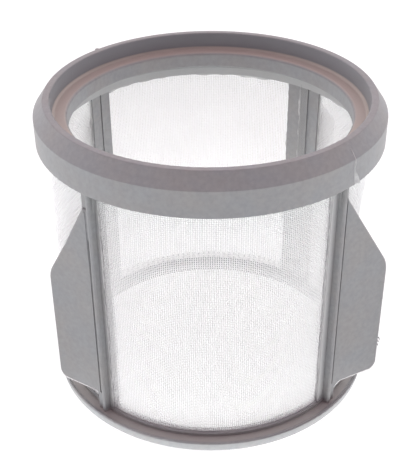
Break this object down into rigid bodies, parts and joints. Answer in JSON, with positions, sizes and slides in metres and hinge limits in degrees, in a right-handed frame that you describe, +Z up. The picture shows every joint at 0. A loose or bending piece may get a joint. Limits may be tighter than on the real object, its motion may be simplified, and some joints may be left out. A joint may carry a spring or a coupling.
{
  "type": "mesh microfilter",
  "caption": "Cylindrical fine-mesh microfilter, open at both ends, with a moulded rim, base ring, ribs and side wings.",
  "frame": {"origin": "centre of the base ring's underside", "axes": "+Z up along the filter's axis from the base ring to the rim; -Y is the front, midway between the two large wings"},
  "size_m": [0.085, 0.085, 0.0775],
  "materials": {
    "frame_plastic": "satin moulded grey polypropylene",
    "filter_mesh": "fine plain-woven white polymer mesh"
  },
  "bodies": {
    "root": {"moulded_frame": "frame_plastic", "mesh_sleeve": "filter_mesh"}
  },
  "joints": []
}
